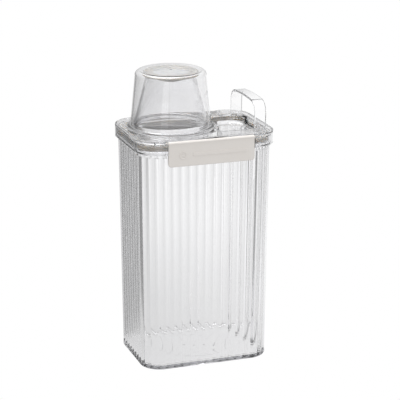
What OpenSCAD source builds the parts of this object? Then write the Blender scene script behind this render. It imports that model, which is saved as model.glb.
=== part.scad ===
// Clear detergent container with a lift-off clip-down lid, a pouring spout with a
// soft stopper, an upturned measuring cup over the spout and a strap handle.
// Origin: centre of the tub's underside. +Z up, +X to the right, front latch faces -Y.

/* [Lid] */
// Width of the lid, left to right
lid_w = 135; // [133:1:138]
// Depth of the lid, front to back
lid_d = 100.8; // [100:0.4:104]
// Corner radius of the lid in plan
lid_r = 22.5; // [21:0.5:24]
// Height of the lid's top face above the table
lid_top = 223; // [180:1:260]
// Thickness of the lid's top plate
plate_t = 2; // [1.8:0.1:2.4]
// Height of the lid's outer skirt, top face to lower edge
skirt_h = 13.1; // [12.6:0.1:14]
// Thickness of the skirt
skirt_t = 1.9; // [1.7:0.1:2]

/* [Tub] */
// How far the lid stands out past the tub on each side
overhang = 3; // [2.8:0.1:3.4]
// How much each side of the tub leans in from top to bottom
draft = 2.1; // [1:0.1:3]
// Wall thickness of the tub
wall_t = 2; // [1.6:0.1:2.4]
// Thickness of the tub's floor
floor_t = 3; // [2:0.5:4]
// How far each upright flute bulges from the wall
flute_depth = 0.8; // [0.3:0.05:1]

/* [Spout and cup] */
// Distance of the spout's axis to the left of the centre
spout_off = 22.3; // [21.5:0.1:23]
// Outer radius of the spout where it leaves the lid
spout_base_r = 35.8; // [35:0.1:36]
// Outer radius of the spout's mouth
spout_mouth_r = 23.1; // [22:0.1:24]
// Height of the spout above the lid
spout_h = 50; // [48:0.5:50]
// Outer height of the measuring cup
cup_h = 54.2; // [54:0.1:56]
// Outer radius of the cup's rim bead
cup_rim_r = 40.7; // [40:0.1:41]

/* [Handle] */
// Distance of the handle strap's centre line from the lid's centre
handle_x = 54.5; // [53:0.5:55]
// Width of the strap
handle_w = 11.5; // [9:0.5:12]
// Height of the handle above the lid
handle_h = 27; // [22:1:34]
// Thickness of the strap
handle_t = 2; // [1.8:0.1:2.4]

/* [Latches] */
// Length of each latch
latch_w = 83.4; // [76:0.2:84]
// Height of each latch, top edge to lower edge
latch_h = 23.7; // [23:0.1:25]

/* [Hidden] */
$fn = 96;
eps = 0.01;

clear_plastic = [0.90, 0.92, 0.93, 0.35];
silicone_grey = [0.70, 0.68, 0.66];
latch_grey = [0.83, 0.81, 0.80];

// Lid insets, all measured inwards from the lid's outer face
plate_under = lid_top - plate_t;
skirt_bottom = lid_top - skirt_h;
rim_out = skirt_t + 0.4;
rim_in = rim_out + 1.6;
gasket_out = rim_in + 0.3;
gasket_core = gasket_out + 0.9;
gasket_in = gasket_core + 1.5;
plug_in = gasket_in + 1.4;
plug_flange = rim_in + 1.3;

// Lid heights
rim_top = lid_top - 4;
gasket_top = rim_top - 0.1;
gasket_bottom = gasket_top - 5.6;
plug_bottom = gasket_bottom - 1.6;
rib_pitch = 11.7;
rib_t = 1.2;

// Tub
band_h = 3.5;
flute_top = skirt_bottom - 2.4;
rim_start = skirt_bottom + 0.4;
tub_w = lid_w - 2 * overhang;
tub_d = lid_d - 2 * overhang;
tub_r = lid_r - overhang;
foot_w = tub_w - 2 * draft;
foot_d = tub_d - 2 * draft;
flutes = 52;
flute_steps = 4;

// Spout and cup
neck_r = spout_base_r - 1.4;
neck_wall = 1.5;
neck_bottom = lid_top - 8.5;
socket_r = neck_r + 0.1;
cone_wall = 1.6;
mouth_bore = spout_mouth_r - 1.7;
collar_h = 4.5;
seat_h = 0.5;
seat_r = cup_rim_r + 0.5;
cup_z = lid_top + seat_h + 0.1;
cup_wall = 1.5;
cup_base_t = 1.4;
bead_h = 2.7;
bead_step = 2.5;
cup_taper = 4.9;
cup_fillet = 4.5;

// Stopper
flange_r = 25.7;
flange_t = 2.6;
stopper_z = lid_top + spout_h + 0.1;
dish_r = 17.9;
dish_depth = 2.2;
plug_r = 19.1;
plug_depth = 3;
fin_r = mouth_bore - 0.25;

// Handle and the tray below it
leg_y = 32.5;
handle_r = 8;
peg_w = 5;
peg_t = 1.6;
peg_depth = 5;
peg_gap = 0.1;
peg_x = handle_x - 2.5;
tray_depth = 8.5;
tray_floor = 1.5;
tray_wall = 1.4;
tray_half_d = 29.5;
tray_left = 12.6;
tray_right = lid_w / 2 - plug_in;
tray_r = 16;
tray_left_r = 6;
tray_arc_r = cup_rim_r + 4.3;

// Latches
latch_t = 2.2;
latch_proud = 1.8;
barrel_r = 2;
pin_r = 1.2;
pin_gap = 0.05;
pin_len = 2.3;
latch_r = 2.5;
ear_t = 2.8;
ear_gap = 0.3;
hook_w = 68;
hook_gap = 0.7;
hook_reach = 1.7;
hook_slope = 1.6;
pivot_y = lid_d / 2 + latch_proud - barrel_r;
pivot_z = lid_top - 2.4;
latch_back = lid_d / 2 + latch_proud - latch_t;
latch_bottom = pivot_z + barrel_r - latch_h;
notch_half_w = latch_w / 2 + ear_gap;
bore_half_w = notch_half_w + ear_t - 0.4;
notch_y = pivot_y - barrel_r - 0.2;
ledge_y = latch_back - 0.4;
ledge_z = latch_bottom + 7.6;
ledge_top = ledge_z + 1.4;

// Rectangle with round corners, centred
module round_rect(w, d, r) {
    square([w - 2 * r, d], center = true);
    square([w, d - 2 * r], center = true);
    for (sx = [-1, 1], sy = [-1, 1])
        translate([sx * (w / 2 - r), sy * (d / 2 - r)]) circle(r);
}

// The lid's plan shape, drawn in by an inset on every side
module lid_plan(inset) {
    round_rect(lid_w - 2 * inset, lid_d - 2 * inset, lid_r - inset);
}

// Upright ring that follows the lid's plan between two insets
module lid_ring(outer, inner, z0, z1) {
    translate([0, 0, z0]) linear_extrude(z1 - z0) difference() {
        lid_plan(outer);
        lid_plan(inner);
    }
}

// Point on half of a round-cornered outline, a length along from the front centre towards
// +X and the back; cx and cy are the corners' centres and bulge moves it outwards
function half_point(along, cx, cy, r, bulge) =
    let (quarter = PI * r / 2, side = along - cx - quarter, back = side - 2 * cy,
         reach = r + bulge)
    along < cx ? [along, -cy - reach]
    : side < 0 ? [cx, -cy] + reach * [sin(90 * (along - cx) / quarter),
                                      -cos(90 * (along - cx) / quarter)]
    : back < 0 ? [cx + reach, side - cy]
    : back < quarter ? [cx, cy] + reach * [cos(90 * back / quarter), sin(90 * back / quarter)]
    : [cx + quarter - back, cy + reach];

// Outline of the fluted wall: its crests touch a w by d rectangle with corners r, the
// flutes are evenly spaced all round and one is centred on the front
module fluted_outline(w, d, r) {
    cr = r - flute_depth;
    cx = w / 2 - r;
    cy = d / 2 - r;
    half_length = 2 * (cx + cy) + PI * cr;
    half_count = flutes / 2 * flute_steps;
    half = [for (i = [0 : half_count - 1])
        let (t = i / flute_steps + 0.5)
        half_point(i / half_count * half_length, cx, cy, cr, flute_depth * abs(sin(180 * t)))];
    polygon(concat(half, [for (p = half) -p]));
}

// Ledge on the tub wall that a latch hooks under; built for the front (-Y) side
module latch_catch() {
    wall_y = tub_d / 2 - 0.8;
    drop = (ledge_y - wall_y) * hook_slope;
    translate([-hook_w / 2, 0, 0]) rotate([90, 0, 90]) linear_extrude(hook_w)
        polygon([[-wall_y, ledge_top], [-ledge_y, ledge_top],
                 [-ledge_y, ledge_z], [-wall_y, ledge_z - drop]]);
}

// Front and rear catches; they are moulded with the tub
module latch_catches() {
    color(clear_plastic) {
        latch_catch();
        mirror([0, 1, 0]) latch_catch();
    }
}

module tub() {
    color(clear_plastic) difference() {
        union() {
            hull() {
                linear_extrude(eps) round_rect(foot_w - 3, foot_d - 3, tub_r - 1.5);
                translate([0, 0, 0.6]) linear_extrude(eps)
                    round_rect(foot_w - 1, foot_d - 1, tub_r - 0.5);
                translate([0, 0, 2]) linear_extrude(band_h - 2)
                    round_rect(foot_w, foot_d, tub_r);
            }
            translate([0, 0, band_h])
                linear_extrude(flute_top - band_h, slices = 1,
                               scale = [tub_w / foot_w, tub_d / foot_d])
                    fluted_outline(foot_w, foot_d, tub_r);
            translate([0, 0, flute_top]) linear_extrude(rim_start - flute_top)
                lid_plan(overhang);
            translate([0, 0, rim_start]) linear_extrude(rim_top - rim_start)
                lid_plan(rim_out);
        }
        translate([0, 0, floor_t])
            linear_extrude(rim_start - floor_t, slices = 1,
                           scale = [(tub_w - 2 * wall_t) / (foot_w - 2 * wall_t),
                                    (tub_d - 2 * wall_t) / (foot_d - 2 * wall_t)])
                round_rect(foot_w - 2 * wall_t, foot_d - 2 * wall_t, tub_r - wall_t);
        translate([0, 0, rim_start - eps]) linear_extrude(lid_top) lid_plan(rim_in);
    }
}

// Plan shape of the finger tray: round right corners, left side curved round the cup
module tray_plan(grow) {
    left = tray_left - grow;
    right = tray_right + grow;
    half = tray_half_d + grow;
    big = tray_r + grow;
    small = tray_left_r + grow;
    difference() {
        union() {
            translate([left + small, -half]) square([right - big - left - small, 2 * half]);
            translate([left, small - half]) square([right - left - big, 2 * (half - small)]);
            translate([left + small, big - half])
                square([right - left - small, 2 * (half - big)]);
            for (s = [-1, 1]) {
                translate([right - big, s * (half - big)]) circle(big);
                translate([left + small, s * (half - small)]) circle(small);
            }
        }
        translate([-spout_off, 0]) circle(tray_arc_r - grow);
    }
}

// Pair of ears that hold one latch's pins; built for the front (-Y) side
module latch_ears() {
    for (s = [-1, 1]) translate([s * (notch_half_w + ear_t / 2) - ear_t / 2, 0, 0]) {
        translate([0, -pivot_y - barrel_r, skirt_bottom])
            cube([ear_t, pivot_y + barrel_r - lid_d / 2 + skirt_t, pivot_z - skirt_bottom]);
        translate([0, -pivot_y, pivot_z]) rotate([0, 90, 0])
            cylinder(r = barrel_r, h = ear_t);
    }
}

module lid() {
    color(clear_plastic) difference() {
        union() {
            translate([0, 0, plate_under]) linear_extrude(plate_t) lid_plan(0);
            lid_ring(0, skirt_t, skirt_bottom, plate_under + eps);
            lid_ring(gasket_in, plug_in, plug_bottom, plate_under + eps);
            lid_ring(plug_flange, plug_in, plug_bottom, gasket_bottom - 0.1);
            intersection() {
                for (i = [-5 : 4])
                    translate([(i + 0.5) * rib_pitch - rib_t / 2, -lid_d / 2, rim_top + 0.2])
                        cube([rib_t, lid_d, plate_under + eps - rim_top - 0.2]);
                lid_ring(skirt_t - eps, plug_in - eps, rim_top, plate_under + eps);
            }
            translate([0, 0, lid_top - tray_depth - tray_floor])
                linear_extrude(tray_depth + tray_floor - plate_t + eps) tray_plan(tray_wall);
            translate([-spout_off, 0, neck_bottom])
                cylinder(r = socket_r + 1.6, h = plate_under + eps - neck_bottom);
            translate([-spout_off, 0, lid_top - eps]) cylinder(r = seat_r, h = seat_h + eps);
            for (s = [-1, 1])
                translate([peg_x - peg_w / 2 - 1.2, s * (leg_y - handle_t / 2) - 2,
                           plate_under - 3])
                    cube([peg_w + 2.4, 4, 3 + eps]);
            latch_ears();
            mirror([0, 1, 0]) latch_ears();
        }
        translate([0, 0, lid_top - tray_depth]) linear_extrude(tray_depth + 1) tray_plan(0);
        translate([-spout_off, 0, neck_bottom - 1]) cylinder(r = socket_r, h = 20);
        for (s = [-1, 1]) {
            translate([-bore_half_w, s * pivot_y, pivot_z]) rotate([0, 90, 0])
                cylinder(r = pin_r + pin_gap, h = 2 * bore_half_w);
            translate([peg_x - peg_w / 2 - peg_gap,
                       s * (leg_y - handle_t / 2) - peg_t / 2 - peg_gap, plate_under - 4])
                cube([peg_w + 2 * peg_gap, peg_t + 2 * peg_gap, 8]);
            translate([-notch_half_w, s * (notch_y + 10) - 10, skirt_bottom - 1])
                cube([2 * notch_half_w, 20, skirt_h + 2]);
        }
    }
}

module lid_gasket() {
    color(silicone_grey) {
        lid_ring(gasket_core, gasket_in - 0.05, gasket_bottom, gasket_top);
        lid_ring(gasket_out, gasket_core + eps, gasket_bottom + 0.5, gasket_bottom + 1.9);
        lid_ring(gasket_out, gasket_core + eps, gasket_top - 1.9, gasket_top - 0.5);
    }
}

module spout() {
    color(clear_plastic) translate([-spout_off, 0, 0]) rotate_extrude()
        polygon([
            [neck_r - neck_wall, neck_bottom], [neck_r, neck_bottom],
            [neck_r, lid_top + seat_h], [spout_base_r, lid_top + seat_h + 0.2],
            [spout_base_r - 0.9, lid_top + collar_h],
            [spout_mouth_r, lid_top + spout_h],
            [mouth_bore, lid_top + spout_h], [mouth_bore, lid_top + spout_h - 3],
            [spout_base_r - 0.9 - cone_wall, lid_top + collar_h]]);
}

module spout_stopper() {
    color(silicone_grey) translate([-spout_off, 0, stopper_z]) rotate_extrude()
        polygon([
            [0, flange_t - dish_depth - 1.2], [plug_r - 1.6, flange_t - dish_depth - 1.2],
            [plug_r - 1.6, -plug_depth], [plug_r, -plug_depth],
            [plug_r, -plug_depth + 1], [fin_r, -plug_depth + 1.4],
            [fin_r, -plug_depth + 2.2], [plug_r, -plug_depth + 2.6], [plug_r, 0],
            [flange_r - 0.5, 0], [flange_r, 0.6], [flange_r, flange_t - 0.9],
            [flange_r - 0.9, flange_t], [dish_r + 0.4, flange_t],
            [dish_r, flange_t - 0.4], [dish_r, flange_t - dish_depth],
            [0, flange_t - dish_depth]]);
}

module measuring_cup() {
    wall_r = cup_rim_r - bead_step;
    top_r = wall_r - cup_taper;
    corner = cup_h - cup_fillet;
    in_r = cup_fillet - cup_wall;
    color(clear_plastic) translate([-spout_off, 0, cup_z]) rotate_extrude()
        polygon(concat(
            [[wall_r - cup_wall, 0], [cup_rim_r - 0.5, 0], [cup_rim_r, 0.5],
             [cup_rim_r, bead_h - 0.5], [cup_rim_r - 0.5, bead_h], [wall_r, bead_h + 0.3]],
            [for (i = [0 : 6]) let (a = i * 15)
                [top_r - cup_fillet + cup_fillet * cos(a), corner + cup_fillet * sin(a)]],
            [[0, cup_h], [0, cup_h - cup_base_t]],
            [for (i = [6 : -1 : 0]) let (a = i * 15)
                [top_r - cup_fillet + in_r * cos(a),
                 cup_h - cup_base_t - in_r + in_r * sin(a)]]));
}

module carry_handle() {
    inner_r = handle_r - handle_t;
    color(clear_plastic) {
        translate([handle_x - handle_w / 2, 0, lid_top]) rotate([90, 0, 90])
            linear_extrude(handle_w) difference() {
                union() {
                    translate([0, handle_h / 2]) round_rect(2 * leg_y, handle_h, handle_r);
                    translate([-leg_y, 0]) square([2 * leg_y, handle_h - handle_r]);
                }
                translate([0, (handle_h - handle_t) / 2])
                    round_rect(2 * (leg_y - handle_t), handle_h - handle_t, inner_r);
                translate([handle_t - leg_y, -1])
                    square([2 * (leg_y - handle_t), handle_h - handle_r + 1]);
            }
        for (s = [-1, 1])
            translate([peg_x - peg_w / 2, s * (leg_y - handle_t / 2) - peg_t / 2,
                       lid_top - peg_depth])
                cube([peg_w, peg_t, peg_depth + eps]);
    }
}

// One latch: cover plate, hinge barrel with two stub pins, and the hook behind it
module latch() {
    plate_top = pivot_z - latch_bottom;
    hook_z = ledge_z - hook_gap;
    tip_y = latch_back - hook_reach;
    tip_z = hook_z - (hook_reach - 0.4) * hook_slope;
    translate([0, -latch_back, latch_bottom]) rotate([90, 0, 0]) linear_extrude(latch_t) {
        translate([-latch_w / 2, latch_r]) square([latch_w, plate_top - latch_r]);
        translate([latch_r - latch_w / 2, 0]) square([latch_w - 2 * latch_r, latch_r + eps]);
        for (s = [-1, 1]) translate([s * (latch_w / 2 - latch_r), latch_r]) circle(latch_r);
    }
    translate([-latch_w / 2, -pivot_y, pivot_z]) rotate([0, 90, 0])
        cylinder(r = barrel_r, h = latch_w);
    translate([-latch_w / 2 - pin_len, -pivot_y, pivot_z]) rotate([0, 90, 0])
        cylinder(r = pin_r, h = latch_w + 2 * pin_len);
    translate([-hook_w / 2, 0, 0]) rotate([90, 0, 90]) linear_extrude(hook_w)
        polygon([[-latch_back - eps, hook_z + 0.4 * hook_slope],
                 [-latch_back, hook_z + 0.4 * hook_slope],
                 [-tip_y, tip_z], [-tip_y, tip_z - 0.8],
                 [-latch_back, latch_bottom + 1.2], [-latch_back - eps, latch_bottom + 1.2]]);
}

module front_latch() {
    color(latch_grey) latch();
}

module rear_latch() {
    color(latch_grey) mirror([0, 1, 0]) latch();
}

tub();
latch_catches();
lid();
lid_gasket();
spout();
spout_stopper();
measuring_cup();
carry_handle();
front_latch();
rear_latch();
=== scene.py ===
import bmesh
import bpy
import math
import numpy as np
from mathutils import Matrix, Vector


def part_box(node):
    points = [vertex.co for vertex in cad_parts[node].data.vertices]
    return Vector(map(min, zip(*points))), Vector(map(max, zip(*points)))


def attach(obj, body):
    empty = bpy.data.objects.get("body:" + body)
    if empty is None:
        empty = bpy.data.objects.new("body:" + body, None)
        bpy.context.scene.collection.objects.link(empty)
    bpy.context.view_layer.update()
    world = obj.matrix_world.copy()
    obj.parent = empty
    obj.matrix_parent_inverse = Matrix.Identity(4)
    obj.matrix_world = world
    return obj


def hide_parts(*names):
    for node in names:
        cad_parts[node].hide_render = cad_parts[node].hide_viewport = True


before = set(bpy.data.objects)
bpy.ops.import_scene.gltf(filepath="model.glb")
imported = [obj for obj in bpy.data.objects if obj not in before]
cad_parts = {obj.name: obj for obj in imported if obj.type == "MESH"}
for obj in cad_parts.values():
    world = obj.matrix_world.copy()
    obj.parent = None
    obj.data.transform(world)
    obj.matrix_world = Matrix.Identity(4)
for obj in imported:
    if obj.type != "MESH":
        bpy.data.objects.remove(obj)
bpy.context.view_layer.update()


# ---------------------------------------------------------------------------------------
# Studio: a camera on a long lens, a plain pale floor that fills the view behind the clear
# plastic, one large soft lamp overhead and a small one at the front left. Lengths in metres.

MM = 0.001
view_yaw, view_pitch = 19.04, 16.81          # degrees to the left of the front, and down
view_distance = 1563 * MM
view_target = np.array([-2.5, 0.0, 150.1]) * MM

camera_data = bpy.data.cameras.new("studio_camera")
camera_data.lens = 148.3
camera_data.sensor_width = 36
camera_data.shift_x = 0.0225
camera = bpy.data.objects.new("studio_camera", camera_data)
bpy.context.scene.collection.objects.link(camera)
yaw, pitch = math.radians(view_yaw), math.radians(view_pitch)
forward = np.array([math.sin(yaw) * math.cos(pitch), math.cos(yaw) * math.cos(pitch),
                    -math.sin(pitch)])
camera.location = view_target - forward * view_distance
camera.rotation_euler = (math.pi / 2 - pitch, 0, -yaw)
bpy.context.scene.camera = camera


def linear(hex_colour):
    """A #rrggbb sRGB colour as linear RGBA."""
    srgb = [int(hex_colour[i:i + 2], 16) / 255 for i in (1, 3, 5)]
    rgb = [c / 12.92 if c <= 0.04045 else ((c + 0.055) / 1.055) ** 2.4 for c in srgb]
    return (*rgb, 1.0)


def add_node(tree, kind, settings=None, links=None):
    """Adds one node; settings go on its sockets or its properties, links feed its inputs."""
    node = tree.nodes.new(kind)
    for key, value in (settings or {}).items():
        if isinstance(key, int) or key in node.inputs:
            node.inputs[key].default_value = value
        else:
            setattr(node, key, value)
    for key, source in (links or {}).items():
        tree.links.new(source, node.inputs[key])
    return node


def start_material(name):
    """An empty node material and its node tree."""
    material = bpy.data.materials.new(name)
    material.use_nodes = True
    material.node_tree.nodes.clear()
    return material, material.node_tree


def soft_lamp(name, size, place, aim, power):
    """An area lamp at place, pointing at aim; lengths in metres, power in watts."""
    data = bpy.data.lights.new(name, "AREA")
    data.shape = "RECTANGLE"
    data.size, data.size_y = size
    data.energy = power
    lamp = bpy.data.objects.new(name, data)
    direction = np.array(aim) - np.array(place)
    lamp.location = place
    lamp.rotation_euler = (math.atan2(math.hypot(direction[0], direction[1]), -direction[2]), 0,
                           math.atan2(direction[1], direction[0]) - math.pi / 2)
    lamp.visible_camera = False
    bpy.context.scene.collection.objects.link(lamp)


floor_mesh = bpy.data.meshes.new("floor")
floor_half = 12.0
floor_z = -0.3 * MM                          # just clear of the tub's foot
floor_mesh.from_pydata([(-floor_half, -floor_half, floor_z), (floor_half, -floor_half, floor_z),
                        (floor_half, floor_half, floor_z), (-floor_half, floor_half, floor_z)],
                       [], [(0, 1, 2, 3)])
studio_floor = bpy.data.objects.new("floor", floor_mesh)
bpy.context.scene.collection.objects.link(studio_floor)
# A light table, plain white where it is seen directly. The light that it sends into the
# clear plastic is stronger on the right than on the left, and weaker past the sides, behind
# the tub's rear left corner and in the tub's own shelter. So edges that bend the light draw
# as soft grey lines. Its own axes are turned with the camera: x right, y away.
table_spread = 0.3                           # the light changes from -spread to +spread in x
left_level, right_level = 0.78, 1.2
side_near, side_far, side_level = 0.14, 0.4, 0.74
side_widening = 0.125                        # extra half width for each metre behind the tub
shelter_near, shelter_far = 0.05, 0.5
shelter_level, open_level = 0.8, 0.96
rear_left_x, rear_left_y = -0.076, 0.024     # the tub's rear left corner in these axes
dim_from, dim_to, dim_level = 16, 38, 0.45   # bearings in degrees from straight behind it
lift_from, lift_to, lift = 66, 96, 0.5       # bearings to its left, where the light comes back
table_light, tree = start_material("lit_white_table")
place = add_node(tree, "ShaderNodeTexCoord")
turned_place = add_node(tree, "ShaderNodeVectorRotate", {"rotation_type": "Z_AXIS", "Angle": yaw},
                        {"Vector": place.outputs["Object"]})
axes = add_node(tree, "ShaderNodeSeparateXYZ", None, {"Vector": turned_place.outputs[0]})
across = add_node(tree, "ShaderNodeMapRange", {"interpolation_type": "SMOOTHSTEP",
                  "From Min": -table_spread, "From Max": table_spread,
                  "To Min": left_level, "To Max": right_level},
                  {"Value": axes.outputs["X"]})
sideways = add_node(tree, "ShaderNodeMath", {"operation": "ABSOLUTE"}, {0: axes.outputs["X"]})
behind = add_node(tree, "ShaderNodeMath", {"operation": "MAXIMUM", 1: 0.0},
                  {0: axes.outputs["Y"]})
past_side = add_node(tree, "ShaderNodeMath", {"operation": "MULTIPLY_ADD", 1: -side_widening},
                     {0: behind.outputs[0], 2: sideways.outputs[0]})
side_fade = add_node(tree, "ShaderNodeMapRange", {"interpolation_type": "SMOOTHSTEP",
                     "From Min": side_near, "From Max": side_far,
                     "To Min": 1.0, "To Max": side_level},
                     {"Value": past_side.outputs[0]})
reach = add_node(tree, "ShaderNodeVectorMath", {"operation": "LENGTH"},
                 {0: place.outputs["Object"]})
shelter = add_node(tree, "ShaderNodeMapRange", {"interpolation_type": "SMOOTHSTEP",
                   "From Min": shelter_near, "From Max": shelter_far,
                   "To Min": shelter_level, "To Max": open_level},
                   {"Value": reach.outputs["Value"]})
left_of_tub = add_node(tree, "ShaderNodeMath", {"operation": "SUBTRACT", 0: rear_left_x},
                       {1: axes.outputs["X"]})
past_tub = add_node(tree, "ShaderNodeMath", {"operation": "SUBTRACT", 1: rear_left_y},
                    {0: axes.outputs["Y"]})
bearing = add_node(tree, "ShaderNodeMath", {"operation": "ARCTAN2"},
                   {0: left_of_tub.outputs[0], 1: past_tub.outputs[0]})
left_fade = add_node(tree, "ShaderNodeMapRange", {"interpolation_type": "SMOOTHSTEP",
                     "From Min": math.radians(dim_from), "From Max": math.radians(dim_to),
                     "To Min": 1.0, "To Max": dim_level}, {"Value": bearing.outputs[0]})
front_left = add_node(tree, "ShaderNodeMapRange", {"interpolation_type": "SMOOTHSTEP",
                      "From Min": math.radians(lift_from), "From Max": math.radians(lift_to),
                      "To Min": 0.0, "To Max": lift}, {"Value": bearing.outputs[0]})
left_light = add_node(tree, "ShaderNodeMath", {"operation": "ADD"},
                      {0: left_fade.outputs[0], 1: front_left.outputs[0]})
edge_fade = add_node(tree, "ShaderNodeMath", {"operation": "MULTIPLY"},
                     {0: left_light.outputs[0], 1: side_fade.outputs[0]})
falloff = add_node(tree, "ShaderNodeMath", {"operation": "MULTIPLY"},
                   {0: across.outputs[0], 1: edge_fade.outputs[0]})
pool = add_node(tree, "ShaderNodeMath", {"operation": "MULTIPLY"},
                {0: falloff.outputs[0], 1: shelter.outputs[0]})
eye = add_node(tree, "ShaderNodeLightPath")
glow = add_node(tree, "ShaderNodeMix", {"data_type": "FLOAT", 3: 1.0},
                {0: eye.outputs["Is Camera Ray"], 2: pool.outputs[0]})
white = add_node(tree, "ShaderNodeEmission", {"Color": linear("#ffffff")},
                 {"Strength": glow.outputs[0]})
add_node(tree, "ShaderNodeOutputMaterial", None, {"Surface": white.outputs[0]})
floor_mesh.materials.append(table_light)

soft_lamp("top_lamp", (1.6, 1.6), (-0.4, 0.2, 2.0), (0, 0, 0), 26)
soft_lamp("front_lamp", (0.9, 0.9), (-1.3, -1.6, 1.0), (0, 0, 0.15), 3)

world = bpy.data.worlds.new("studio_air")
world.use_nodes = True
# The air above is bright overhead and greyer low down, as in a room with a large skylight.
tree = world.node_tree
tree.nodes.clear()
place = add_node(tree, "ShaderNodeTexCoord")
axes = add_node(tree, "ShaderNodeSeparateXYZ", None, {"Vector": place.outputs["Generated"]})
sky = add_node(tree, "ShaderNodeMapRange", {"interpolation_type": "SMOOTHSTEP",
               "From Min": 0.1, "From Max": 0.8, "To Min": 0.72, "To Max": 1.3},
               {"Value": axes.outputs["Z"]})
air = add_node(tree, "ShaderNodeBackground", {"Color": linear("#ffffff")},
               {"Strength": sky.outputs[0]})
add_node(tree, "ShaderNodeOutputWorld", None, {"Surface": air.outputs[0]})
bpy.context.scene.world = world
bpy.context.scene.view_settings.view_transform = "Standard"
bpy.context.scene.cycles.max_bounces = 32
bpy.context.scene.cycles.transmission_bounces = 32
bpy.context.scene.cycles.glossy_bounces = 12


# ---------------------------------------------------------------------------------------
# Tub: one deep injection moulding in clear SAN, drawn in slightly towards its foot so that
# it leaves the mould. Upright flutes run all round it, its rim steps out to take the lid,
# and a short catch stands out front and back for the latches.

lid_low, lid_high = (np.array(corner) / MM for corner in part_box("lid"))
half_w = lid_high[0]                          # the lid's outer faces set the whole plan
half_d = 50.4
corner_r = 22.5
lid_top = 223.0
overhang = 3.0                                # lid skirt to tub wall
draft = 2.1                                   # each side, foot to shoulder
flute_count = 52
flute_depth = 0.8
shoulder_z = 207.5                            # flutes stop here
rim_z = 210.3                                 # the wall steps out here
rim_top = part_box("tub")[1][2] / MM
floor_t = 3.0
wall_t = 2.0


def corner_track(cx, cy, r, count):
    """A closed plan outline as points on the corners' centre lines and outward directions,
    evenly spaced along the outline of corner radius r. Point + r * direction is on it."""
    quarter = math.pi * r / 2
    half = 2 * (cx + cy) + 2 * quarter
    base, out = [], []
    for i in range(count // 2):
        along = i / (count // 2) * half
        if along < cx:
            base.append((along, -cy))
            out.append((0, -1))
        elif along < cx + quarter:
            turn = (along - cx) / r
            base.append((cx, -cy))
            out.append((math.sin(turn), -math.cos(turn)))
        elif along < cx + quarter + 2 * cy:
            base.append((cx, along - cx - quarter - cy))
            out.append((1, 0))
        elif along < cx + 2 * quarter + 2 * cy:
            turn = (along - cx - quarter - 2 * cy) / r
            base.append((cx, cy))
            out.append((math.cos(turn), math.sin(turn)))
        else:
            base.append((half - along, cy))
            out.append((0, 1))
    base, out = np.array(base), np.array(out)
    return np.vstack([base, -base]), np.vstack([out, -out])


def arc(cx, cz, r, first, last, steps):
    """Points on a circular arc, angles in degrees from +x towards +z."""
    angles = np.radians(np.linspace(first, last, steps + 1))
    return [(cx + r * math.cos(a), cz + r * math.sin(a)) for a in angles]


def solid(name, rings, loop=False):
    """A closed mesh lofted through rings of points in mm, capped unless the rings loop."""
    rings = [np.asarray(ring, float) for ring in rings]
    count = len(rings[0])
    bm = bmesh.new()
    rows = [[bm.verts.new(point * MM) for point in ring] for ring in rings]
    pairs = list(zip(rows, rows[1:])) + ([(rows[-1], rows[0])] if loop else [])
    for low, high in pairs:
        for i in range(count):
            j = (i + 1) % count
            bm.faces.new((low[i], low[j], high[j], high[i]))
    if not loop:
        bm.faces.new(list(reversed(rows[0])))
        bm.faces.new(rows[-1])
    bmesh.ops.recalc_face_normals(bm, faces=bm.faces)
    mesh = bpy.data.meshes.new(name)
    bm.to_mesh(mesh)
    bm.free()
    piece = bpy.data.objects.new(name, mesh)
    bpy.context.scene.collection.objects.link(piece)
    return piece


def at_height(plan, z):
    """Plan points lifted to a height."""
    return np.column_stack([plan, np.full(len(plan), z)])


def combine(piece, other, how):
    """Joins other to piece, or cuts it out of it, and deletes other."""
    step = piece.modifiers.new(how, "BOOLEAN")
    step.operation = how
    step.solver = "EXACT"
    step.object = other
    evaluated = piece.evaluated_get(bpy.context.evaluated_depsgraph_get())
    mesh = bpy.data.meshes.new_from_object(evaluated)
    piece.modifiers.clear()
    old = piece.data
    piece.data = mesh
    mesh.name = old.name
    bpy.data.meshes.remove(old)
    used = other.data
    bpy.data.objects.remove(other)
    bpy.data.meshes.remove(used)


def finish_surface(piece, material, sharp=25):
    """Smooth shading that keeps flats flat and edges over sharp degrees crisp."""
    for face in piece.data.polygons:
        face.use_smooth = True
    piece.data.set_sharp_from_angle(angle=math.radians(sharp))
    flats = piece.modifiers.new("flat faces stay flat", "WEIGHTED_NORMAL")
    flats.keep_sharp = True
    piece.data.materials.clear()
    piece.data.materials.append(material)


steps_per_flute = 12
tub_base, tub_out = corner_track(half_w - corner_r, half_d - corner_r, corner_r - overhang,
                                 flute_count * steps_per_flute)
phase = np.arange(len(tub_base)) / steps_per_flute + 0.5
flute_cut = flute_depth * (1 - np.abs(np.sin(np.pi * phase)))
centre_x, centre_y = half_w - corner_r, half_d - corner_r


def tub_ring(z, inset, fluted=0.0):
    """The wall's outline at a height, drawn in with the draft below the shoulder."""
    lean = draft * max(0.0, 1 - z / shoulder_z)
    base = tub_base * [1 - lean / centre_x, 1 - lean / centre_y]
    reach = corner_r - inset - fluted * flute_cut
    return at_height(base + tub_out * np.reshape(reach * np.ones(len(base)), (-1, 1)), z)


def tub_disc(r, z):
    """A round ring on the floor, with its points in line with the wall's."""
    angle = np.arctan2(tub_base[:, 1] + tub_out[:, 1], tub_base[:, 0] + tub_out[:, 0])
    return at_height(np.column_stack([r * np.cos(angle), r * np.sin(angle)]), z)


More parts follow.
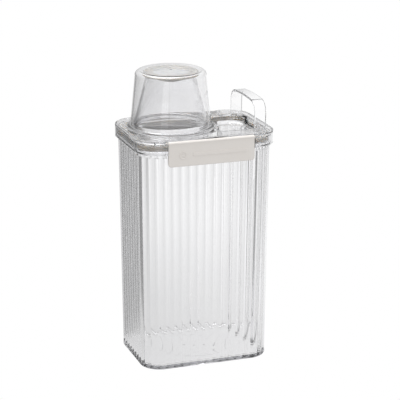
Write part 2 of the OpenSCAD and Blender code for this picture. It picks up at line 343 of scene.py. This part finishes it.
foot_r, foot_inside_r = 1.6, 3.2
rings = [tub_disc(1.5, 0.3), tub_disc(2.2, 0.0), tub_disc(27.6, 0), tub_disc(28.0, 0.35),
         tub_disc(28.6, 0.35), tub_disc(29.0, 0), tub_ring(0, overhang + foot_r + 1.2)]
rings += [tub_ring(z, overhang + foot_r - x)
          for x, z in arc(0, foot_r, foot_r, -90, 0, 6)]
rings += [tub_ring(2.0, overhang, 0.3), tub_ring(2.6, overhang, 0.8)]
rings += [tub_ring(z, overhang, 1.0) for z in np.linspace(3.4, shoulder_z - 1.2, 26)]
rings += [tub_ring(shoulder_z - 0.6, overhang, 0.8), tub_ring(shoulder_z - 0.2, overhang, 0.3),
          tub_ring(shoulder_z, overhang)]
rings += [tub_ring(rim_z - 0.4, overhang), tub_ring(rim_z, overhang - 0.1),
          tub_ring(rim_z + 0.3, overhang - 0.6), tub_ring(rim_z + 0.8, overhang - 0.7)]
rings += [tub_ring(z, overhang - 0.1 - x) for x, z in arc(0, rim_top - 0.6, 0.6, 0, 90, 4)]
rings += [tub_ring(z, overhang + 0.3 - x) for x, z in arc(0, rim_top - 0.6, 0.6, 90, 180, 4)]
rings += [tub_ring(rim_z + 1.6, overhang + 0.9), tub_ring(rim_z + 0.6, overhang + 1.2),
          tub_ring(rim_z - 0.8, overhang + wall_t)]
rings += [tub_ring(z, overhang + wall_t) for z in np.linspace(shoulder_z - 4, 12, 16)]
rings += [tub_ring(z, overhang + wall_t + foot_inside_r - x)
          for x, z in arc(0, floor_t + foot_inside_r, foot_inside_r, 0, -90, 8)]
rings += [tub_ring(floor_t, overhang + wall_t + foot_inside_r + 2), tub_disc(24, floor_t),
          tub_disc(3.0, floor_t), tub_disc(2.4, floor_t + 0.15)]
tub_piece = solid("tub_shell", rings)

catch_half_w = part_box("latch_catches")[1][0] / MM
catch_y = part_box("latch_catches")[1][1] / MM
catch_low, catch_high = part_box("latch_catches")[0][2] / MM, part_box("latch_catches")[1][2] / MM
for side in (-1, 1):
    profile = [(46.4, catch_high - 0.1), (catch_y - 0.4, catch_high - 0.1),
               (catch_y - 0.1, catch_high - 0.4), (catch_y - 0.1, catch_high - 1.2),
               (catch_y - 0.4, catch_high - 2.0), (46.8, catch_low + 0.3), (46.4, catch_low)]
    ends = [np.array([(x, side * y, z) for y, z in profile])
            for x in (-catch_half_w, catch_half_w)]
    combine(tub_piece, solid("catch", ends), "UNION")

# Clear SAN, injection moulded: bright, glass-like faces with a faint cool grey in the
# thickness, seen as grey lines wherever the eye looks along a wall.
clear_san, tree = start_material("clear_moulded_san")
place = add_node(tree, "ShaderNodeTexCoord")
flow = add_node(tree, "ShaderNodeTexNoise", {"Scale": 1 / (18 * MM), "Detail": 2.0},
                {"Vector": place.outputs["Object"]})
waviness = add_node(tree, "ShaderNodeBump", {"Strength": 0.01, "Distance": 0.1 * MM},
                    {"Height": flow.outputs["Fac"]})
polish = add_node(tree, "ShaderNodeTexNoise", {"Scale": 1 / (6 * MM), "Detail": 4.0},
                  {"Vector": place.outputs["Object"]})
gloss = add_node(tree, "ShaderNodeMapRange", {"To Min": 0.0, "To Max": 0.012},
                 {"Value": polish.outputs["Fac"]})
shade = add_node(tree, "ShaderNodeMixRGB", {1: linear("#fbfbfc"), 2: linear("#fdfdfd")},
                 {0: flow.outputs["Fac"]})
resin = add_node(tree, "ShaderNodeBsdfPrincipled",
                 {"Transmission Weight": 1.0, "IOR": 1.57},
                 {"Base Color": shade.outputs[0], "Roughness": gloss.outputs[0],
                  "Normal": waviness.outputs[0]})
depth = add_node(tree, "ShaderNodeVolumeAbsorption",
                 {"Color": linear("#c4c4c8"), "Density": 20.0})
add_node(tree, "ShaderNodeOutputMaterial", None,
         {"Surface": resin.outputs[0], "Volume": depth.outputs[0]})

finish_surface(tub_piece, clear_san, sharp=14)
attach(tub_piece, "tub_body")
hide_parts("tub", "latch_catches")


# ---------------------------------------------------------------------------------------
# Lid: a second clear SAN moulding. A skirt hangs outside the tub's rim and a plug wall
# inside it; a finger tray is let into its right half, the spout's socket into its left,
# and a pair of ears at each long edge holds a latch's pins.

plate_t, skirt_t = 2.0, 1.9
plate_under = lid_top - plate_t
plate_mid = 222.0                             # inside the plate, where the parts below join it
skirt_bottom = lid_low[2]
plug_outer, plug_inner, plug_flange = 6.6, 8.0, 5.2
plug_bottom = 211.7
lid_base, lid_out = corner_track(centre_x, centre_y, corner_r, 360)


def lid_ring(inset, z):
    """The lid's plan at a height, drawn in by an inset."""
    return at_height(lid_base + lid_out * (corner_r - inset), z)


edge_r = 1.3
profile = [(6, plate_under)]
profile += [(skirt_t + 1.0 - x, z) for x, z in arc(0, plate_under - 1.0, 1.0, 90, 0, 4)]
profile += [(skirt_t, 214.0)]
profile += [(skirt_t - 0.4 + x, z) for x, z in arc(0, skirt_bottom + 0.4, 0.4, 0, -90, 3)]
profile += [(edge_r + x, z) for x, z in arc(0, skirt_bottom + edge_r, edge_r, -90, -180, 5)]
profile += [(0, 216.0)]
profile += [(edge_r + x, z) for x, z in arc(0, lid_top - edge_r, edge_r, 180, 90, 6)]
profile += [(6, lid_top)]
lid_piece = solid("lid_shell", [lid_ring(inset, z) for inset, z in profile])

profile = [(plug_outer, plate_mid), (plug_outer, 213.2), (5.5, 213.2), (plug_flange, 212.9),
           (plug_flange, 212.2), (5.6, 211.8), (5.9, plug_bottom), (7.5, plug_bottom),
           (plug_inner, 212.2), (plug_inner, plate_mid)]
combine(lid_piece, solid("plug", [lid_ring(inset, z) for inset, z in profile], loop=True),
        "UNION")

cup_x = (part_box("measuring_cup")[0][0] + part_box("measuring_cup")[1][0]) / 2 / MM
tray_half_d, tray_right, tray_r, tray_arc_r, tray_tip_r = 29.5, 59.5, 16.0, 45.0, 5.0


def tray_track():
    """The finger tray's outline and its outward directions: two large round corners at the
    right, two small ones at the left, and a left side that curves round the cup."""
    tip_y = tray_half_d - tray_tip_r
    tip_x = cup_x + math.sqrt((tray_arc_r + tray_tip_r) ** 2 - tip_y ** 2)
    meet = math.degrees(math.atan2(tip_y, tip_x - cup_x))
    big_x, big_y = tray_right - tray_r, tray_half_d - tray_r
    points, out = [], []

    def bend(x, y, r, first, last, steps, facing=1):
        for angle in np.radians(np.linspace(first, last, steps + 1)):
            ray = np.array([math.cos(angle), math.sin(angle)])
            points.append(np.array([x, y]) + r * ray)
            out.append(facing * ray)

    bend(big_x, -big_y, tray_r, -90, 0, 20)
    bend(big_x, big_y, tray_r, 0, 90, 20)
    bend(tip_x, tip_y, tray_tip_r, 90, 180 + meet, 12)
    bend(cup_x, 0, tray_arc_r, meet - 2, 2 - meet, 28, facing=-1)
    bend(tip_x, -tip_y, tray_tip_r, 180 - meet, 270, 12)
    return np.array(points), np.array(out)


tray_points, tray_out = tray_track()
tray_floor = 214.5


def tray_ring(grow, z):
    """The tray's outline at a height, grown outwards."""
    return at_height(tray_points + tray_out * grow, z)


profile = [(-3.0, tray_floor - 1.5)]
profile += [(x - 1.6, z) for x, z in arc(0, tray_floor + 1.5, 3.0, -90, 0, 6)]
profile += [(1.4, plate_mid)]
combine(lid_piece, solid("tray", [tray_ring(grow, z) for grow, z in profile]), "UNION")

socket_r, socket_bottom, seat_r, seat_top = 34.5, 214.5, 41.2, 223.5


def turned(name, profile, x=0.0, y=0.0, segments=144, loop=True):
    """A turned solid about an upright axis; its profile is (radius, height) in mm."""
    angles = np.linspace(0, 2 * math.pi, segments, endpoint=False)
    circle = np.column_stack([np.cos(angles), np.sin(angles)])
    return solid(name, [at_height(circle * r + [x, y], z) for r, z in profile], loop=loop)


combine(lid_piece, turned("socket", [
    (socket_r - 0.5, plate_mid), (socket_r - 0.5, socket_bottom), (35.7, socket_bottom),
    (36.1, socket_bottom + 0.4), (36.1, plate_mid)], cup_x), "UNION")
profile = [(socket_r - 0.5, plate_mid), (36.0, plate_mid), (seat_r, plate_mid),
           (seat_r, lid_top + 0.2)]
profile += [(seat_r - 0.3 + x, z) for x, z in arc(0, seat_top - 0.3, 0.3, 0, 90, 3)]
profile += [(socket_r - 0.5, seat_top)]
combine(lid_piece, turned("seat", profile, cup_x), "UNION")


def box_solid(name, low, high):
    """A closed box between two corners in mm, for cutting and joining."""
    (x0, y0, z0), (x1, y1, z1) = low, high
    plan = np.array([(x0, y0), (x1, y0), (x1, y1), (x0, y1)])
    return solid(name, [at_height(plan, z0), at_height(plan, z1)])


rib_pitch, rib_t, rib_bottom = 11.7, 1.2, 219.2
for i in range(-5, 5):
    x = (i + 0.5) * rib_pitch
    past = max(0.0, abs(x) - centre_x)
    outer = centre_y + math.sqrt((corner_r - skirt_t + 0.3) ** 2 - past ** 2)
    inner = centre_y + math.sqrt((corner_r - plug_outer - 0.3) ** 2 - past ** 2)
    for side in (-1, 1):
        low_y, high_y = sorted((side * inner, side * outer))
        combine(lid_piece, box_solid("rib", (x - rib_t / 2, low_y, rib_bottom),
                                     (x + rib_t / 2, high_y, plate_mid)), "UNION")

peg_x, leg_y = 52.0, 31.5
notch_half_w, notch_y, ear_t = 42.0, 48.0, 2.8
pivot_y, pivot_z, barrel_r = 50.2, 220.6, 2.0
for side in (-1, 1):
    combine(lid_piece, box_solid("boss", (peg_x - 3.7, side * leg_y - 2, 218.0),
                                 (peg_x + 3.7, side * leg_y + 2, plate_mid)), "UNION")
    for end in (-1, 1):
        profile = [(48.6, skirt_bottom + 0.2), (51.4, skirt_bottom + 0.2),
                   (52.0, skirt_bottom + 0.5), (52.2, skirt_bottom + 1.1)]
        profile += arc(pivot_y, pivot_z, barrel_r, 0, 180, 14)[0:11]
        profile += [(48.6, 221.6)]
        rings = [np.array([(end * (notch_half_w + x), side * y, z) for y, z in profile])
                 for x in (0, ear_t)]
        combine(lid_piece, solid("ear", rings), "UNION")

cut_from, cut_to = 205.0, 230.0               # cuts run right through the lid
pocket = [(-3.4, tray_floor)]
pocket += [(x - 3.0, z) for x, z in arc(0, tray_floor + 3.0, 3.0, -90, 0, 8)]
pocket += [(1.0 - x, z) for x, z in arc(0, lid_top - 1.0, 1.0, 0, 80, 5)]
pocket += [(1.0, lid_top + 0.4), (1.0, lid_top + 2.0)]
combine(lid_piece, solid("pocket", [tray_ring(grow, z) for grow, z in pocket]),
        "DIFFERENCE")
combine(lid_piece, turned("bore", [(socket_r, cut_from), (socket_r, cut_to)], cup_x,
                          loop=False), "DIFFERENCE")
for side in (-1, 1):
    low_y, high_y = sorted((side * notch_y, side * 60.0))
    combine(lid_piece, box_solid("notch", (-notch_half_w, low_y, cut_from),
                                 (notch_half_w, high_y, cut_to)), "DIFFERENCE")
    combine(lid_piece, box_solid("slot", (peg_x - 2.6, side * leg_y - 0.9, 210.0),
                                 (peg_x + 2.6, side * leg_y + 0.9, cut_to)), "DIFFERENCE")
    for end in (-1, 1):
        circle = [(pivot_y + x, pivot_z + z) for x, z in arc(0, 0, 1.25, 0, 345, 23)]
        rings = [np.array([(end * x, side * y, z) for y, z in circle])
                 for x in (notch_half_w - 1, notch_half_w + ear_t - 0.4)]
        combine(lid_piece, solid("pin_bore", rings), "DIFFERENCE")

finish_surface(lid_piece, clear_san)
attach(lid_piece, "lid_body")
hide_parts("lid")


# ---------------------------------------------------------------------------------------
# Lid gasket: a ring of warm grey silicone rubber, compression moulded with two lips that
# press on the inside of the tub's rim. It is stretched into the groove of the plug wall.

gasket_bottom, gasket_top = (corner[2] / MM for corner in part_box("lid_gasket"))
core, lip, inside = 5.1, 4.2, 6.55
profile = [(inside, gasket_bottom + 0.2), (inside, gasket_top - 0.2), (inside - 0.2, gasket_top)]
for lip_top in (gasket_top - 0.5, gasket_bottom + 1.9):
    profile += [(core + 0.2, lip_top + 0.4), (core, lip_top), (lip + 0.4, lip_top),
                (lip, lip_top - 0.4), (lip, lip_top - 1.0), (lip + 0.4, lip_top - 1.4),
                (core, lip_top - 1.5)]
profile += [(core + 0.2, gasket_bottom), (inside - 0.2, gasket_bottom)]
gasket_piece = solid("lid_gasket_ring", [lid_ring(inset, z) for inset, z in profile],
                     loop=True)


def moulded_silicone(name, thick_hex, glow_painted_hex, glow_painted_radius, axis_x):
    """Silicone rubber: satin and slightly milky, so that light goes a little way in. It is
    thick_hex. Inside a given radius of an upright axis it is painted a second, lighter colour: a
    painted glow that stands in for light shining up through a thin dish there."""
    material, tree = start_material(name)
    place = add_node(tree, "ShaderNodeTexCoord")
    cloud = add_node(tree, "ShaderNodeTexNoise", {"Scale": 1 / (9 * MM), "Detail": 3.0},
                     {"Vector": place.outputs["Object"]})
    from_axis = add_node(tree, "ShaderNodeVectorMath",
                         {"operation": "MULTIPLY_ADD", 1: (1, 1, 0), 2: (-axis_x * MM, 0, 0)},
                         {0: place.outputs["Object"]})
    radius = add_node(tree, "ShaderNodeVectorMath", {"operation": "LENGTH"},
                      {0: from_axis.outputs[0]})
    # Painted glow mask: inside the radius the colour turns to the lighter one, in place of light
    # shining through the thin dish.
    painted_glow_mask = add_node(tree, "ShaderNodeMapRange", {"From Min": glow_painted_radius * MM + 0.5 * MM,
                   "From Max": glow_painted_radius * MM - 0.5 * MM}, {"Value": radius.outputs["Value"]})
    tone = add_node(tree, "ShaderNodeMixRGB", {1: linear(thick_hex), 2: linear(glow_painted_hex)},
                    {0: painted_glow_mask.outputs[0]})
    clouded = add_node(tree, "ShaderNodeMixRGB", {"blend_type": "MULTIPLY", 0: 0.06},
                       {1: tone.outputs[0], 2: cloud.outputs["Color"]})
    skin = add_node(tree, "ShaderNodeTexNoise", {"Scale": 1 / (0.5 * MM), "Detail": 2.0},
                    {"Vector": place.outputs["Object"]})
    satin = add_node(tree, "ShaderNodeBump", {"Strength": 0.15, "Distance": 0.03 * MM},
                     {"Height": skin.outputs["Fac"]})
    rubber = add_node(tree, "ShaderNodeBsdfPrincipled",
                      {"Roughness": 0.42, "IOR": 1.41, "Subsurface Weight": 1.0,
                       "Subsurface Radius": (3.6 * MM, 3.3 * MM, 3.0 * MM),
                       "Subsurface Scale": 1.0},
                      {"Base Color": clouded.outputs[0], "Normal": satin.outputs[0]})
    add_node(tree, "ShaderNodeOutputMaterial", None, {"Surface": rubber.outputs[0]})
    return material


gasket_silicone = moulded_silicone("warm_grey_silicone", "#f0e7dc", "#f0e7dc", 0, 0)
finish_surface(gasket_piece, gasket_silicone, sharp=50)
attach(gasket_piece, "lid_body")
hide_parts("lid_gasket")


# ---------------------------------------------------------------------------------------
# Spout: a clear SAN cone, injection moulded and pushed down into the lid's socket as far as
# a raised collar ring, which rests on the seat.

collar_r, neck_r, mouth_r, mouth_bore = 35.8, 34.4, 23.1, 21.4
mouth_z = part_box("spout")[1][2] / MM
profile = [(neck_r - 1.5, 214.9), (neck_r - 1.2, 214.5), (neck_r - 0.4, 214.5), (neck_r, 214.9),
           (neck_r, 223.4), (collar_r - 0.2, 223.6), (collar_r, 223.9), (collar_r, 224.6),
           (collar_r - 0.3, 226.4), (34.95, 227.2), (34.6, 228.6)]
lean_out = (34.6 - mouth_r) / (mouth_z - 228.6)
profile += [(34.6 - lean_out * (z - 228.6), z) for z in np.linspace(234, mouth_z - 2.0, 9)]
profile += [(mouth_r + 0.1, mouth_z - 0.7), (mouth_r - 0.3, mouth_z - 0.15),
            (mouth_r - 0.7, mouth_z), (mouth_bore + 0.4, mouth_z),
            (mouth_bore + 0.1, mouth_z - 0.2), (mouth_bore, mouth_z - 0.6),
            (mouth_bore, mouth_z - 3.0)]
profile += [(33.0 - lean_out * (z - 228.6), z) for z in np.linspace(mouth_z - 6, 230, 9)]
profile += [(33.1, 227.5), (neck_r - 1.5, 226.0)]
spout_piece = turned("spout_cone", profile, cup_x, segments=192)
finish_surface(spout_piece, clear_san, sharp=40)
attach(spout_piece, "lid_body")
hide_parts("spout")


# ---------------------------------------------------------------------------------------
# Spout stopper: a silicone rubber plug, compression moulded, with a dished flange to pull
# it out by and a hollow skirt with a lip that seals in the spout's mouth.

stopper_low, stopper_high = (np.array(corner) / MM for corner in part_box("spout_stopper"))
flange_z, flange_top, flange_r, dish_r, plug_r = mouth_z + 0.1, stopper_high[2], 25.7, 17.9, 19.1
profile = [(0.05, flange_top - 3.3), (plug_r - 2.4, flange_top - 3.3),
           (plug_r - 1.6, flange_top - 3.9), (plug_r - 1.6, stopper_low[2] + 0.3),
           (plug_r - 1.2, stopper_low[2]), (plug_r - 0.3, stopper_low[2]),
           (plug_r, stopper_low[2] + 0.4), (plug_r, stopper_low[2] + 1.0),
           (21.0, stopper_low[2] + 1.5), (21.15, stopper_low[2] + 1.8),
           (21.0, stopper_low[2] + 2.1), (plug_r, stopper_low[2] + 2.5), (plug_r, flange_z)]
profile += [(flange_r - 0.9 + x, z) for x, z in arc(0, flange_z + 0.9, 0.9, -90, 0, 5)]
profile += [(flange_r - 1.2 + x, z) for x, z in arc(0, flange_top - 1.2, 1.2, 0, 90, 6)]
profile += [(21.2, flange_top), (20.9, flange_top - 0.25), (20.5, flange_top - 0.25),
            (20.2, flange_top)]
profile += [(dish_r + 0.7 + x, z) for x, z in arc(0, flange_top - 0.7, 0.7, 90, 180, 4)]
profile += [(dish_r, flange_top - 1.5)]
profile += [(dish_r - 0.7 + x, z) for x, z in arc(0, flange_top - 1.5, 0.7, 0, -90, 4)]
profile += [(0.05, flange_top - 2.2)]
stopper_piece = turned("stopper_plug", profile, cup_x, segments=144)
# The dish inside dish_r is painted near white: a painted glow for light shining up through its thin
# silicone, not the rubber's own colour.
stopper_silicone_painted_glow = moulded_silicone("stopper_silicone_painted_glow", "#cbc6bf", "#fbfaf8", dish_r, cup_x)
finish_surface(stopper_piece, stopper_silicone_painted_glow, sharp=50)
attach(stopper_piece, "stopper_body")
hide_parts("spout_stopper")


# ---------------------------------------------------------------------------------------
# Measuring cup: a thin injection-moulded tumbler in clear SAN, stood upside down over the
# spout. Its rim is thickened into a bead, and a dimple in the middle of its base is where
# the plastic was fed in.

cup_low, cup_high = (np.array(corner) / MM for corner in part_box("measuring_cup"))
rim_r, wall_foot_r, wall_head_r = 40.7, 38.2, 33.3
cup_wall, cup_base, fillet = 1.5, 1.4, 4.5
rim_low, head = cup_low[2], cup_high[2]
profile = [(wall_foot_r - cup_wall, rim_low + 0.3), (wall_foot_r - cup_wall + 0.3, rim_low)]
profile += [(rim_r - 0.9 + x, z) for x, z in arc(0, rim_low + 0.9, 0.9, -90, 0, 5)]
profile += [(rim_r - 0.9 + x, z) for x, z in arc(0, rim_low + 1.9, 0.9, 0, 90, 5)]
profile += [(wall_foot_r + 0.5, rim_low + 2.9), (wall_foot_r + 0.1, rim_low + 3.3)]
cup_lean = (wall_foot_r - wall_head_r) / (head - fillet - rim_low)
profile += [(wall_foot_r - cup_lean * (z - rim_low), z)
            for z in np.linspace(rim_low + 6, head - fillet - 3, 8)]
profile += [(wall_head_r - fillet + x, z) for x, z in arc(0, head - fillet, fillet, 0, 90, 14)]
profile += [(20, head), (8, head), (1.1, head), (0.9, head - 0.3), (0.05, head - 0.3)]
profile += [(0.05, head - cup_base), (8, head - cup_base), (20, head - cup_base)]
inner_r = fillet - cup_wall
profile += [(wall_head_r - fillet + x, z)
            for x, z in arc(0, head - cup_base - inner_r, inner_r, 90, 0, 10)]
profile += [(wall_foot_r - cup_wall - cup_lean * (z - rim_low), z)
            for z in np.linspace(head - fillet - 3, rim_low + 4, 8)]
cup_piece = turned("measuring_cup_shell", profile, cup_x, segments=192)
finish_surface(cup_piece, clear_san, sharp=40)
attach(cup_piece, "cup_body")
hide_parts("measuring_cup")


# ---------------------------------------------------------------------------------------
# Carry handle: a clear SAN strap bent into an arch, with a peg under each leg that is
# pressed into a slot in the lid.

strap_x, strap_w, strap_t = 54.5, 11.5, 2.0
strap_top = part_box("carry_handle")[1][2] / MM
bend_r, crown = 10.5, 1.0
strap_section = []
for x, y, first in ((1, -1, -90), (1, 1, 0), (-1, 1, 90), (-1, -1, 180)):
    strap_section += [(x, y, math.radians(a)) for a in np.linspace(first, first + 90, 7)]


def strap_ring(y, z, tilt, width, thickness, x_centre, edge=0.93):
    """A rounded cross-section; tilt turns it from flat on a leg to flat on top."""
    ring = []
    for sx, sy, a in strap_section:
        across = sx * (width / 2 - edge) + edge * math.cos(a)
        through = sy * (thickness / 2 - edge) + edge * math.sin(a)
        ring.append((x_centre + across, y - through * math.cos(tilt), z + through * math.sin(tilt)))
    return np.array(ring)


half_path = [(-leg_y, z, 0.0) for z in np.linspace(223.9, strap_top - 1 - bend_r - crown, 8)]
for turn in np.linspace(0, math.pi / 2, 19)[1:]:
    half_path.append((-leg_y + bend_r - bend_r * math.cos(turn),
                      strap_top - 1 - crown - bend_r + bend_r * math.sin(turn), turn))
flat_y = leg_y - bend_r
for y in np.linspace(-flat_y, 0, 9)[1:]:
    half_path.append((y, strap_top - 1 - crown * (y / flat_y) ** 2, math.pi / 2))
rings = [strap_ring(-leg_y, 218.2, 0, 4.2, 1.0, peg_x, 0.3),
         strap_ring(-leg_y, 218.6, 0, 5.0, 1.6, peg_x, 0.3),
         strap_ring(-leg_y, 222.9, 0, 5.0, 1.6, peg_x, 0.3),
         strap_ring(-leg_y, 223.05, 0, 5.2, 1.7, peg_x, 0.3),
         strap_ring(-leg_y, 223.05, 0, strap_w - 0.6, strap_t - 0.1, strap_x),
         strap_ring(-leg_y, 223.2, 0, strap_w - 0.15, strap_t - 0.03, strap_x)]
rings += [strap_ring(y, z, tilt, strap_w, strap_t, strap_x) for y, z, tilt in half_path]
rings += [ring * [1, -1, 1] for ring in reversed(rings[:-1])]
handle_piece = solid("handle_strap", rings)
finish_surface(handle_piece, clear_san, sharp=40)
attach(handle_piece, "lid_body")
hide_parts("carry_handle")


# ---------------------------------------------------------------------------------------
# Latches: two warm grey ABS flaps, front and rear, injection moulded. Each has a barrel
# along its top edge with a pin at each end, and a hook behind its lower edge. The front one
# also has a plain raised ring, dot and bar.

latch_half_w = 41.7
latch_face = 51.85
latch_back = 50.0
latch_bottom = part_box("front_latch")[0][2] / MM
latch_corner, latch_edge = 3.0, 0.7


def latch_section(x, side):
    """Cross-section of a latch at x: plate with rounded edges, rolled over at the top."""
    from_end = latch_half_w - abs(x)
    lift = 0.0
    if from_end < latch_corner:
        lift = latch_corner - math.sqrt(latch_corner ** 2 - (latch_corner - from_end) ** 2)
    ease = 0.0
    if from_end < latch_edge:
        ease = latch_edge - math.sqrt(latch_edge ** 2 - (latch_edge - from_end) ** 2)
    foot = latch_bottom + lift
    points = [(latch_back + 0.3, foot)]
    points += [(latch_face - latch_edge - ease + y, z)
               for y, z in arc(0, foot + latch_edge, latch_edge, -90, 0, 6)]
    points += [(latch_face - ease, z) for z in np.linspace(205, 220, 4)]
    points += arc(pivot_y, pivot_z, barrel_r - ease, 0, 250, 20)
    points += [(latch_back, 217.9)]
    points += [(latch_back, z) for z in np.linspace(216, 204, 4)]
    points += [(latch_back, foot + 0.3)]
    return np.array([(x, side * y, z) for y, z in points])


def latch_solid(name, side):
    """A whole latch: flap, two pins and hook, on the front (-1) or rear (1) side."""
    near_end = latch_half_w - np.array([0.0, 0.06, 0.2, 0.4, 0.7, 1.1, 1.6, 2.2, 3.0])
    stations = list(-near_end) + list(np.linspace(-38, 38, 15)) + list(reversed(near_end))
    piece = solid(name, [latch_section(x, side) for x in stations])
    circle = arc(0, 0, 1.2, 0, 345, 23)
    for end in (-1, 1):
        rings = [np.array([(end * x, side * (pivot_y + r * y), pivot_z + r * z)
                           for y, z in circle])
                 for x, r in ((latch_half_w - 1, 1), (latch_half_w + 2.0, 1),
                              (latch_half_w + 2.3, 0.75))]
        combine(piece, solid("pin", rings), "UNION")
    hook_top, hook_tip, hook_face = 206.4, 203.7, 48.3
    hook = [(latch_back + 0.5, hook_top + 0.6), (latch_back, hook_top),
            (hook_face + 0.3, hook_tip + 0.1), (hook_face, hook_tip - 0.3),
            (hook_face, hook_tip - 0.7), (hook_face + 0.3, hook_tip - 1.1),
            (latch_back, 200.2), (latch_back + 0.5, 200.0)]
    ends = [np.array([(x, side * y, z) for y, z in hook])
            for x in (-catch_half_w, catch_half_w)]
    combine(piece, solid("hook", ends), "UNION")
    return piece


# Moulded ABS with a fine spark-eroded texture: soft satin, no gloss spots.
latch_abs, tree = start_material("warm_grey_moulded_abs")
place = add_node(tree, "ShaderNodeTexCoord")
cloud = add_node(tree, "ShaderNodeTexNoise", {"Scale": 1 / (14 * MM), "Detail": 3.0},
                 {"Vector": place.outputs["Object"]})
tone = add_node(tree, "ShaderNodeMixRGB", {1: linear("#d2cdc8"), 2: linear("#d6d2ce")},
                {0: cloud.outputs["Fac"]})
spark = add_node(tree, "ShaderNodeTexNoise", {"Scale": 1 / (0.35 * MM), "Detail": 4.0},
                 {"Vector": place.outputs["Object"]})
texture = add_node(tree, "ShaderNodeBump", {"Strength": 0.2, "Distance": 0.03 * MM},
                   {"Height": spark.outputs["Fac"]})
sheen = add_node(tree, "ShaderNodeMapRange", {"To Min": 0.42, "To Max": 0.52},
                 {"Value": spark.outputs["Fac"]})
abs_resin = add_node(tree, "ShaderNodeBsdfPrincipled", {"IOR": 1.54},
                     {"Base Color": tone.outputs[0], "Roughness": sheen.outputs[0],
                      "Normal": texture.outputs[0]})
add_node(tree, "ShaderNodeOutputMaterial", None, {"Surface": abs_resin.outputs[0]})

mark_z, mark_face, mark_root, mark_ease = 209.6, 52.2, 51.7, 0.1
dot_x, dot_r, bar_left, bar_right, bar_r = -28, 1.3, -17, 33, 1.5
ring_outer, ring_inner = 3.6, 2.9


def raised_mark(ring_at):
    """A low raised shape on the front flap; ring_at(inset) gives its outline in x and z."""
    steps = [(0, mark_root), (0, mark_face - mark_ease), (mark_ease, mark_face)]
    rings = [np.array([(x, -y, z) for x, z in ring_at(inset)]) for inset, y in steps]
    return solid("mark", rings)


def bar_outline(inset):
    """A bar with half-round ends."""
    r = bar_r - inset
    return arc(bar_right, mark_z, r, -90, 90, 10) + arc(bar_left, mark_z, r, 90, 270, 10)


def dot_outline(inset):
    """A round dot."""
    return arc(dot_x, mark_z, dot_r - inset, 0, 350, 35)


def add_ring_mark(piece):
    """Joins a thin raised ring about the dot to piece."""
    section = [(ring_outer, mark_root), (ring_outer, mark_face - mark_ease),
               (ring_outer - mark_ease, mark_face), (ring_inner + mark_ease, mark_face),
               (ring_inner, mark_face - mark_ease), (ring_inner, mark_root)]
    rings = [np.array([(x, -y, z) for x, z in arc(dot_x, mark_z, r, 0, 354, 59)])
             for r, y in section]
    combine(piece, solid("mark", rings, loop=True), "UNION")


for name, side in (("front", -1), ("rear", 1)):
    latch_piece = latch_solid(name + "_latch_flap", side)
    if side < 0:
        combine(latch_piece, raised_mark(bar_outline), "UNION")
        combine(latch_piece, raised_mark(dot_outline), "UNION")
        add_ring_mark(latch_piece)
    finish_surface(latch_piece, latch_abs, sharp=40)
    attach(latch_piece, name + "_latch_body")
    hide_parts(name + "_latch")
